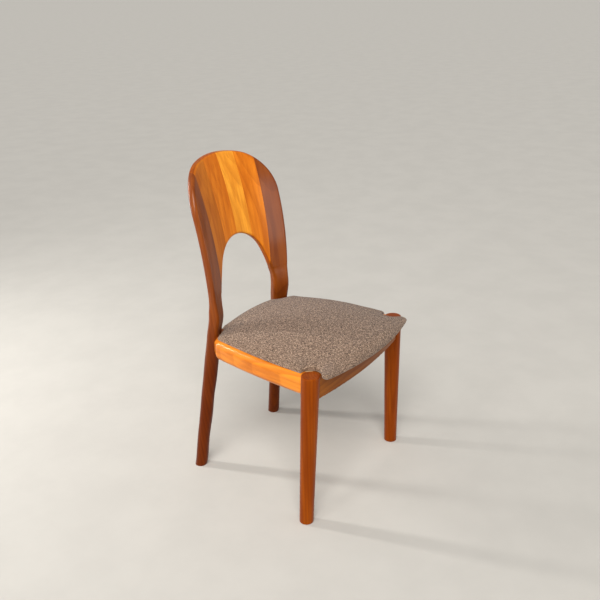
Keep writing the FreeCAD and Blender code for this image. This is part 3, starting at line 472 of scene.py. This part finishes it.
def weave_group():
    """Plain weave of flecked yarn on the cloth's own map: u across and v along, in yarns.

    Each crossing takes a yarn colour at random, warp and weft cross over by turns, and the yarn's
    height is a half sine across it. Where the yarn lies low, between crossings, its colour is
    darkened as painted shade.
    """
    group, w, given, made = new_group(
        "Flecked weave",
        [("Vector", "NodeSocketVector", None), ("Pitch", "NodeSocketFloat", 0.0019),
         ("Pale", "NodeSocketColor", None), ("Middle", "NodeSocketColor", None),
         ("Dark", "NodeSocketColor", None)],
        [("Color", "NodeSocketColor"), ("Height", "NodeSocketFloat"),
         ("Roughness", "NodeSocketFloat")])
    pushed = w.wander(given["Vector"], 90.0, 0.0022)
    place = w.vector("ADD", given["Vector"], pushed)
    yarns = w.vector("SCALE", place, w.math("DIVIDE", 1.0, given["Pitch"]))
    cell = w.add("ShaderNodeVectorMath", {0: yarns}, operation="FLOOR").outputs[0]
    across = w.split(yarns)
    cells = w.split(cell)
    over = w.math("PINGPONG", w.math("ADD", cells[0], cells[1]), 1.0)
    warp = w.math("ABSOLUTE", w.math("SINE", w.math("MULTIPLY", across[0], math.pi)))
    weft = w.math("ABSOLUTE", w.math("SINE", w.math("MULTIPLY", across[1], math.pi)))
    lift = w.math("ADD", w.math("MULTIPLY", warp, over),
                  w.math("MULTIPLY", weft, w.math("SUBTRACT", 1.0, over)))
    pick = w.add("ShaderNodeTexWhiteNoise", {"Vector": cell}, noise_dimensions="2D").outputs[0]
    slub = w.noise(w.stretch(place, (1.0, 0.45, 1.0)), 330.0, 2.0, 0.6)
    patch = w.noise(place, 90.0, 2.0, 0.5)
    tone = w.math("ADD", w.math("MULTIPLY", pick, 0.50), w.math("MULTIPLY_ADD", slub, 0.9, -0.20))
    tone = w.math("ADD", tone, w.math("MULTIPLY_ADD", patch, 0.20, -0.10))
    dark_mix = w.mix(w.ramp(tone, 0.22, 0.50), given["Dark"], given["Middle"])
    flecked = w.mix(w.ramp(tone, 0.48, 0.86), dark_mix, given["Pale"])
    # Painted shade: the yarn is darkened where it lies low between crossings.
    painted_gap_shade = w.mix(w.ramp(lift, 0.45, 0.05), flecked, w.shaded(flecked, (0.50, 0.46, 0.44)))
    w.tree.links.new(painted_gap_shade, made["Color"])
    fuzz = w.noise(place, 1500.0, 2.0, 0.7)
    w.tree.links.new(w.math("ADD", lift, w.math("MULTIPLY", fuzz, 0.35)), made["Height"])
    w.tree.links.new(w.math("MULTIPLY_ADD", fuzz, 0.10, 0.84), made["Roughness"])
    return group


def tweed(groups):
    """Woven cover: flecked weave with a soft sheen."""
    settings = bpy.context.scene.chair_tweed
    material, w = new_material("tweed")
    cloth = w.add("ShaderNodeUVMap", uv_map="cloth")
    weave = w.add("ShaderNodeGroup", {"Vector": cloth.outputs[0]}, node_tree=groups["weave"])
    for key, value in (("Pitch", settings.yarn_pitch), ("Pale", rgba(settings.pale_yarn)),
                       ("Middle", rgba(settings.middle_yarn)), ("Dark", rgba(settings.dark_yarn))):
        weave.inputs[key].default_value = value
    bump = w.add("ShaderNodeBump", {"Height": weave.outputs["Height"], "Strength": 0.8,
                                    "Distance": 0.0007})
    shader = w.add("ShaderNodeBsdfPrincipled", {
        "Base Color": weave.outputs["Color"], "Roughness": weave.outputs["Roughness"],
        "Normal": bump.outputs[0], "Sheen Weight": 0.12, "Sheen Roughness": 0.5,
        "Specular IOR Level": 0.2})
    w.add("ShaderNodeOutputMaterial", {"Surface": shader.outputs[0]})
    return material


def metal(name, plating, roughness):
    """Plated steel with fine scratches and dull stains."""
    material, w = new_material(name)
    spot = w.add("ShaderNodeTexCoord").outputs["Object"]
    scratch = w.noise(w.stretch(spot, (1.0, 1.0, 6.0)), 900.0, 3.0, 0.6)
    stain = w.noise(spot, 120.0, 2.0, 0.5)
    tone = w.mix(w.ramp(stain, 0.4, 0.7), rgba(plating), rgba(plating, 0.7))
    rough = w.math("MULTIPLY_ADD", scratch, 0.25, roughness)
    shader = w.add("ShaderNodeBsdfPrincipled", {"Base Color": tone, "Roughness": rough,
                                                "Metallic": 1.0})
    w.add("ShaderNodeOutputMaterial", {"Surface": shader.outputs[0]})
    return material


def shared_groups():
    """The node groups that the finishes share, built once."""
    wanted = {
        "timber": ("Oiled timber", timber_group),
        "wear": ("Rubbed edges", wear_group),
        "weave": ("Flecked weave", weave_group),
    }
    return {key: bpy.data.node_groups.get(name) or build() for key, (name, build) in wanted.items()}


# ----------------------------------------------------------------------------- timber


class CHAIR_OT_back(Operator):
    """Finish the staves of the arched back, each board with its own colour and grain"""

    bl_idname = "chair.back"
    bl_label = "Arched back"

    def execute(self, context):
        wood = context.scene.chair_timber
        groups = shared_groups()
        # Each board's colour, the middle of its tree, and how strongly its rings show.
        boards = [
            ("back_stave_1", wood.brown_stave, (0.21, -0.30, 0.1), 0.22),
            ("back_stave_2", wood.warm_stave, (0.16, -0.28, 0.4), 0.22),
            ("back_stave_3", wood.light_stave, (-0.12, -0.31, -0.2), 0.22),
            ("back_stave_4", wood.warm_stave, (-0.18, -0.24, 0.7), 0.32),
        ]
        for name, tone, heart, figure in boards:
            # Each board gets painted shade on its sideways edges.
            paint_node(name, timber(name, groups, tone, heart, BACK_LEAN,
                                    figure=figure, wander=0.012, rim=0.75))
        for name, side in (("rear_leg_left", LEFT), ("rear_leg_right", RIGHT)):
            heart = (-0.30 * side, -0.34, 0.3 * side)
            # The rear legs get painted shade towards the floor.
            paint_node(name, timber(name, groups, wood.dark_stave, heart, BACK_LEAN,
                                    coat=0.45, foot=0.85, figure=0.35))
        return {"FINISHED"}


class CHAIR_OT_seat_frame(Operator):
    """Finish the front legs and the four seat rails"""

    bl_idname = "chair.seat_frame"
    bl_label = "Front legs and rails"

    def execute(self, context):
        wood = context.scene.chair_timber
        groups = shared_groups()
        for name, side in (("front_leg_left", LEFT), ("front_leg_right", RIGHT)):
            heart = (-0.19 * side, 0.245, 0.2 * side)
            # The front legs get a little painted shade towards the floor.
            paint_node(name, timber(name, groups, wood.leg_wood, heart, coat=0.06, foot=0.25,
                                    figure=0.35, ring_width=0.007, end_grain=0.1))
        for name, side in (("side_rail_left", LEFT), ("side_rail_right", RIGHT)):
            heart = (0.35 * side, 0.38, 0.1)
            paint_node(name, timber(name, groups, wood.rail_wood, heart, ALONG_Y,
                                    coat=0.40, figure=0.30))
        for name in ("front_rail", "rear_rail"):
            heart = (-0.50, 0.12, 0.0)
            # Their darker colour holds painted shade from under the pad.
            paint_node(name, timber(name, groups, wood.cross_wood_and_shade, heart, ALONG_X, figure=0.35))
        return {"FINISHED"}


class CHAIR_OT_inner_parts(Operator):
    """Finish the corner blocks, dowels, seat board, screws and staples"""

    bl_idname = "chair.inner_parts"
    bl_label = "Blocks and fixings"

    def execute(self, context):
        wood = context.scene.chair_timber
        groups = shared_groups()
        pale = timber("planed beech", groups, wood.block_wood, (-0.40, 0.05, 0.0), ACROSS_CORNER,
                      coat=0.0, figure=0.2)
        sheet = timber("birch plywood", groups, wood.block_wood, (0.1, 0.05, -0.45), ACROSS_CORNER,
                       coat=0.0, figure=0.15)
        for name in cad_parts:
            if name.startswith("corner_block") or name.endswith("_dowels"):
                paint_node(name, pale)
        paint_node("seat_board", sheet)
        zinc = metal("zinc plate", (0.62, 0.60, 0.52), 0.30)
        for name in ("block_screws", "seat_screws"):
            paint_node(name, zinc)
        paint_node("cover_staples", metal("staple wire", (0.66, 0.66, 0.67), 0.25))
        return {"FINISHED"}


# --------------------------------------------------------------------------- seat pad


def arc_through(start, end, bow, count):
    """Points of the arc from start to end, without its end, that bows out to the right of the way.

    Its radius is (s^2/4 + b^2) / 2b, for a span s and a bow b.
    """
    start, end = np.array(start), np.array(end)
    chord = end - start
    span = np.linalg.norm(chord)
    radius = (span * span / 4 + bow * bow) / (2 * bow)
    right = np.array([chord[1], -chord[0]]) / span
    centre = (start + end) / 2 - right * (radius - bow)
    half = math.asin(span / 2 / radius)
    middle = math.atan2(right[1], right[0])
    angle = np.linspace(middle - half, middle + half, count, endpoint=False)
    return centre + radius * np.stack([np.cos(angle), np.sin(angle)], axis=-1)


def line_between(start, end, count):
    """Evenly spaced points of the straight line from start to end, without its end."""
    steps = np.linspace(0.0, 1.0, count, endpoint=False)[:, None]
    return np.array(start) + steps * (np.array(end) - np.array(start))


def bend_between(start, pull, end, count):
    """Points of the parabola from start to end that is drawn towards pull, without its end."""
    steps = np.linspace(0.0, 1.0, count, endpoint=False)[:, None]
    start, pull, end = np.array(start), np.array(pull), np.array(end)
    return start * (1 - steps) ** 2 + pull * 2 * steps * (1 - steps) + end * steps ** 2


def pad_plan(count, inset=0.0, easing=0.0045):
    """Plan of the pad, anticlockwise from the middle of its front edge, as count even steps.

    The right half is a bowed front edge, a rounded ear in front of the leg, a half-round notch
    about the leg's top, a bowed side, a rear corner, the edge along the stile's front and half of
    the tongue between the stiles. The left half is its mirror image. Corners are eased by a
    running average weighted as a bell curve of width easing, and inset moves the line inwards.
    """
    ear = (pad_high.x, pad_low.y + EAR_DEPTH)
    angle = np.linspace(NOTCH_START, NOTCH_END, 121)
    notch = np.array(LEG_TOP) + NOTCH_RADIUS * np.stack([np.cos(angle), np.sin(angle)], axis=-1)
    front = arc_through((-ear[0], ear[1]), ear, EAR_DEPTH, 600)
    middle, ear_start = 300, 575
    right = np.vstack([
        front[middle:ear_start],
        bend_between(front[ear_start], ear, notch[0], 40),
        notch[:-1],
        arc_through(notch[-1], REAR_CORNER, SIDE_BOW, 330),
        line_between(REAR_CORNER, CROOK, 72),
        line_between(CROOK, TONGUE, 20),
        line_between(TONGUE, (0.0, TONGUE[1]), 120),
    ])
    line = even_steps(np.vstack([right, right[::-1] * (-1.0, 1.0)]), count)
    spread = easing / (perimeter(line) / count)
    reach = int(math.ceil(spread * 3))
    weights = np.exp(-0.5 * (np.arange(-reach, reach + 1) / spread) ** 2)
    weights /= weights.sum()
    padded = np.vstack([line[-reach:], line, line[:reach]])
    eased = np.stack([np.convolve(padded[:, axis], weights, "valid") for axis in (0, 1)], axis=-1)
    return eased - outward(eased) * inset


def perimeter(line):
    """The length of a closed line."""
    return np.linalg.norm(np.roll(line, -1, axis=0) - line, axis=1).sum()


def even_steps(line, count):
    """The closed line again with count points an equal way apart."""
    closed = np.vstack([line, line[:1]])
    run = np.concatenate([[0.0], np.cumsum(np.linalg.norm(np.diff(closed, axis=0), axis=1))])
    wanted = np.linspace(0.0, run[-1], count, endpoint=False)
    return np.stack([np.interp(wanted, run, closed[:, axis]) for axis in (0, 1)], axis=-1)


def outward(line):
    """Unit vectors square to a closed anticlockwise line, pointing out of it."""
    along = np.roll(line, -1, axis=0) - np.roll(line, 1, axis=0)
    along /= np.linalg.norm(along, axis=1)[:, None]
    return np.stack([along[:, 1], -along[:, 0]], axis=-1)


def pad_surface(settings):
    """The pad before it is swelled, as rings from the middle out, down and back underneath.

    Height over the rails is crown - x^2/2a - y^2/2b from the middle, for radii a across and b fore
    and aft, and runs out smoothly to the least thickness. It is scaled by a rounded step of the
    way e in from the edge, (1 - (1 - e/r)^n)^(1/n), where r is the edge round and n the power.
    """
    line = pad_plan(PAD_STEPS, settings.slack)
    centre = np.array(RING_MIDDLE)
    spokes = line - centre
    reach = np.linalg.norm(spokes, axis=1)
    inner = np.linspace(0.0, 1.0, 40) ** 0.8
    outer = np.sin(np.linspace(0.0, math.pi / 2, 20))
    far = 1.0 - settings.edge_round / reach
    scale = np.vstack([inner[:, None] * far, far + outer[1:, None] * (1.0 - far)])
    plan = centre + scale[:, :, None] * spokes
    roll = np.clip(1.0 - (1.0 - scale) * reach / settings.edge_round, 0.0, 1.0)
    step = (1.0 - roll ** SHOULDER_POWER) ** (1.0 / SHOULDER_POWER)
    floor = rail_top + PAD_LIFT
    drop = plan[:, :, 0] ** 2 / (2 * settings.side_radius)
    drop = drop + (plan[:, :, 1] - DOME_MIDDLE) ** 2 / (2 * settings.front_radius)
    spare = settings.crown - drop - settings.least_edge
    dome = settings.least_edge + (spare + np.sqrt(spare ** 2 + DOME_BLEND ** 2)) / 2
    top = np.dstack([plan, floor + dome * step])
    lip = 1.0 - np.array(LIP_STEPS)[:, None] / reach
    shrink = np.linspace(1.0, 0.0, 30)[1:, None]
    under_scale = np.vstack([lip, shrink * (1.0 - HOLLOW_INSET / reach)])
    under_plan = centre + under_scale[:, :, None] * spokes
    inside = np.full(len(shrink), board_underside + HOLLOW_RISE)
    under_height = np.concatenate([[floor, floor, floor + LIP_RISE], inside])
    under = np.dstack([under_plan, under_height[:, None] * np.ones_like(reach)])
    return surface("seat_pad", np.vstack([top, under]), wrap_columns=True)


def swell(piece, settings):
    """Blow the pad up as cloth round its filling, held along its lower edge, and keep the result.

    A point that would move by d moves by s tanh(d/s), for the most swelling s.
    """
    context = bpy.context
    remesh = piece.modifiers.new("even cells", "REMESH")
    remesh.mode = "VOXEL"
    remesh.voxel_size = settings.voxel
    apply_modifiers(piece)
    rest = points_of(piece.data)
    held = piece.vertex_groups.new(name="held")
    grip = np.clip(1.0 - (rest[:, 2] - rail_top - HELD_BELOW) / HELD_BAND, 0.0, 1.0)
    for index in np.flatnonzero(grip > 0.0):
        held.add([int(index)], float(grip[index]), "REPLACE")
    cloth = piece.modifiers.new("cloth", "CLOTH")
    cloth.settings.vertex_group_mass = "held"
    cloth.settings.use_pressure = True
    cloth.settings.uniform_pressure_force = FILLING_PRESSURE
    cloth.settings.effector_weights.gravity = 0.0
    cloth.settings.quality = 5
    cloth.collision_settings.use_collision = False
    for number in range(1, SWELL_FRAMES + 1):
        context.scene.frame_set(number)
    apply_modifiers(piece)
    context.scene.frame_set(1)
    moved = points_of(piece.data) - rest
    distance = np.linalg.norm(moved, axis=1)[:, None]
    limit = settings.swell * np.tanh(distance / settings.swell)
    set_points(piece.data, rest + moved * limit / np.maximum(distance, 1e-9))
    piece.vertex_groups.clear()


def apply_modifiers(piece):
    """Replace the mesh by what its modifiers make of it."""
    evaluated = piece.evaluated_get(bpy.context.evaluated_depsgraph_get())
    mesh = bpy.data.meshes.new_from_object(evaluated)
    piece.modifiers.clear()
    piece.data = mesh
    mesh.polygons.foreach_set("use_smooth", np.ones(len(mesh.polygons), bool))


def soften(mesh, rounds):
    """Move every point half way to the middle of its neighbours, rounds times."""
    ends = np.empty(len(mesh.edges) * 2, dtype=np.int64)
    mesh.edges.foreach_get("vertices", ends)
    ends = ends.reshape(-1, 2)
    points = points_of(mesh)
    count = np.bincount(ends.ravel(), minlength=len(points))[:, None]
    for _ in range(rounds):
        total = np.zeros_like(points)
        np.add.at(total, ends[:, 0], points[ends[:, 1]])
        np.add.at(total, ends[:, 1], points[ends[:, 0]])
        points = (points + total / count) / 2
    set_points(mesh, points)


def pleat(points, settings):
    """Small pleats that fan out from each leg notch.

    Their depth is a cosine of the angle about the leg, and fades as a bell curve of the distance.
    """
    for side in (LEFT, RIGHT):
        away = points[:, :2] - (LEG_TOP[0] * side, LEG_TOP[1])
        distance = np.linalg.norm(away, axis=1)
        angle = np.arctan2(away[:, 1], away[:, 0] * side)
        near = np.exp(-((distance - PLEAT_RADIUS) / PLEAT_REACH) ** 2)
        high = np.clip((points[:, 2] - rail_top - PLEAT_FOOT) / PLEAT_RISE, 0.0, 1.0)
        points[:, 2] -= settings.pleat_depth * near * high * (0.5 + 0.5 * np.cos(angle * PLEATS))
    return points


def cloth_map(mesh):
    """Lay the cloth's own map: the plan on top, then on outwards by the drop down the sides."""
    points, normals = points_of(mesh), normals_of(mesh)
    out = normals[:, :2] / np.maximum(np.linalg.norm(normals[:, :2], axis=1), 1e-6)[:, None]
    drop = np.maximum(rail_top + MAP_SHOULDER - points[:, 2], 0.0)[:, None]
    flat = points[:, :2] + out * drop
    corner = np.empty(len(mesh.loops), dtype=np.int64)
    mesh.loops.foreach_get("vertex_index", corner)
    layer = mesh.uv_layers.new(name="cloth")
    layer.data.foreach_set("uv", flat[corner].ravel())


class CHAIR_OT_seat_pad(Operator):
    """Make the seat pad: a crowned pad swelled as cloth, with pleats round the leg notches"""

    bl_idname = "chair.seat_pad"
    bl_label = "Seat pad"

    def execute(self, context):
        settings = context.scene.chair_pad
        piece = pad_surface(settings)
        swell(piece, settings)
        soften(piece.data, 2)
        finer = piece.modifiers.new("finer", "SUBSURF")
        finer.levels = finer.render_levels = 1
        apply_modifiers(piece)
        points = pleat(points_of(piece.data), settings)
        points[:, 2] = np.maximum(points[:, 2], rail_top + 0.0003)
        set_points(piece.data, points)
        cloth_map(piece.data)
        paint(piece, tweed(shared_groups()))
        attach(piece, "root")
        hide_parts("seat_cover", "seat_foam")
        return {"FINISHED"}


class CHAIR_OT_seat_hem(Operator):
    """Make the hem: the strip of cover that turns in under the board"""

    bl_idname = "chair.seat_hem"
    bl_label = "Seat hem"

    def execute(self, context):
        settings = context.scene.chair_pad
        piece = hem_surface(settings)
        cloth_map(piece.data)
        paint(piece, bpy.data.materials.get("tweed") or tweed(shared_groups()))
        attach(piece, "root")
        return {"FINISHED"}


def hem_surface(settings):
    """A thin strip under the pad: its section, a flat hook, is carried round the pad's plan.

    Each point of the section is the plan moved inwards by its own amount, at its own height.
    """
    line = pad_plan(PAD_STEPS)
    side = outward(line)
    thick = board_underside - rail_top
    inwards = np.array([0.0040, 0.0042, 0.0055, settings.hem_width, settings.hem_width, 0.0055])
    heights = np.array([0.0030, 0.0008, 0.0, 0.0, thick, 0.0030])
    plan = line[None] - side[None] * inwards[:, None, None]
    height = rail_top + heights[:, None] * np.ones(len(line))
    return surface("seat_hem", np.dstack([plan, height]), wrap_rows=True, wrap_columns=True)


# ------------------------------------------------------------------------------ stage


def lamp(name, place, aim, width, height, power, tone=(1.0, 1.0, 1.0)):
    """A soft rectangular lamp at place that faces aim."""
    data = bpy.data.lights.new(name, "AREA")
    data.shape = "RECTANGLE"
    data.size, data.size_y = width, height
    data.energy = power
    data.color = tone
    holder = bpy.data.objects.new(name, data)
    holder.location = place
    holder.rotation_euler = (Vector(aim) - Vector(place)).to_track_quat("-Z", "Y").to_euler()
    bpy.context.scene.collection.objects.link(holder)


def sun(name, place, strength, spread):
    """Even daylight over the whole floor, from place towards the origin, spread in degrees."""
    data = bpy.data.lights.new(name, "SUN")
    data.energy = strength
    data.angle = math.radians(spread)
    holder = bpy.data.objects.new(name, data)
    holder.rotation_euler = (-Vector(place)).to_track_quat("-Z", "Y").to_euler()
    bpy.context.scene.collection.objects.link(holder)


class CHAIR_OT_stage(Operator):
    """Set up the floor, the soft lamps, the surroundings and the camera"""

    bl_idname = "chair.stage"
    bl_label = "Stage"

    def execute(self, context):
        settings = context.scene.chair_stage
        scene = context.scene
        scene.view_settings.view_transform = "Standard"
        corners = FLOOR_REACH * np.array([[[-1, -1, 0], [1, -1, 0]], [[-1, 1, 0], [1, 1, 0]]])
        floor = surface("floor", corners)
        material, w = new_material("pale floor")
        spot = w.add("ShaderNodeTexCoord").outputs["Object"]
        mottle = w.noise(spot, 5.0, 4.0, 0.6)
        tone = w.mix(w.ramp(mottle, 0.3, 0.7), rgba(settings.floor), rgba(settings.floor, 0.95))
        shader = w.add("ShaderNodeBsdfPrincipled", {"Base Color": tone, "Roughness": 0.85})
        w.add("ShaderNodeOutputMaterial", {"Surface": shader.outputs[0]})
        paint(floor, material)
        world = bpy.data.worlds.new("surroundings")
        world.use_nodes = True
        background = world.node_tree.nodes["Background"]
        background.inputs["Color"].default_value = rgba(settings.sky)
        background.inputs["Strength"].default_value = settings.sky_strength
        scene.world = world
        sun("daylight", (-2.2, -1.2, 2.4), 3.0, 35.0)
        lamp("window", (-2.4, 0.3, 1.9), (0.0, 0.0, 0.5), 0.6, 1.8, 16.0)
        lamp("back strip", (-0.9, 2.2, 1.3), (-0.1, 0.2, 0.8), 0.16, 1.9, 40.0)
        lamp("front fill", (0.8, -3.0, 0.9), (0.1, 0.1, 0.75), 0.9, 1.3, 12.0, (1.0, 0.96, 0.92))
        data = bpy.data.cameras.new("camera")
        data.sensor_width = 36.0
        data.lens = settings.lens
        data.clip_start, data.clip_end = 0.05, SIGHT
        camera = bpy.data.objects.new("camera", data)
        camera.location = settings.camera_place
        camera.rotation_euler = Euler(settings.camera_turn, "XYZ")
        scene.collection.objects.link(camera)
        scene.camera = camera
        return {"FINISHED"}


# ------------------------------------------------------------------------------ panel


class CHAIR_PT_panel(Panel):
    """Lists the chair's pieces and their sizes and colours"""

    bl_label = "Dining Chair"
    bl_idname = "CHAIR_PT_panel"
    bl_space_type = "VIEW_3D"
    bl_region_type = "UI"
    bl_category = "Chair"

    def draw(self, context):
        """A button for each operator, then a box of settings for each group."""
        layout = self.layout
        for operator in OPERATORS:
            layout.operator(operator.bl_idname)
        for name, settings in SETTINGS.items():
            box = layout.box()
            box.label(text=settings.__doc__)
            values = getattr(context.scene, name)
            for key in settings.__annotations__:
                box.prop(values, key)


# In the order in which main calls them and the panel lists them.
OPERATORS = (CHAIR_OT_stage, CHAIR_OT_back, CHAIR_OT_seat_frame, CHAIR_OT_inner_parts,
             CHAIR_OT_seat_pad, CHAIR_OT_seat_hem)
SETTINGS = {"chair_timber": ChairTimber, "chair_pad": ChairPad, "chair_tweed": ChairTweed,
            "chair_stage": ChairStage}


def register():
    """Make the classes known and hang their settings on the scene."""
    for item in (*SETTINGS.values(), *OPERATORS, CHAIR_PT_panel):
        bpy.utils.register_class(item)
    for name, settings in SETTINGS.items():
        setattr(bpy.types.Scene, name, PointerProperty(type=settings))


def unregister():
    """Take back what register did, in the opposite order."""
    for name in SETTINGS:
        delattr(bpy.types.Scene, name)
    for item in (CHAIR_PT_panel, *reversed(OPERATORS), *reversed(SETTINGS.values())):
        bpy.utils.unregister_class(item)


def main():
    """Make every piece in order."""
    register()
    bpy.ops.chair.stage()
    bpy.ops.chair.back()
    bpy.ops.chair.seat_frame()
    bpy.ops.chair.inner_parts()
    bpy.ops.chair.seat_pad()
    bpy.ops.chair.seat_hem()


if __name__ == "__main__":
    main()
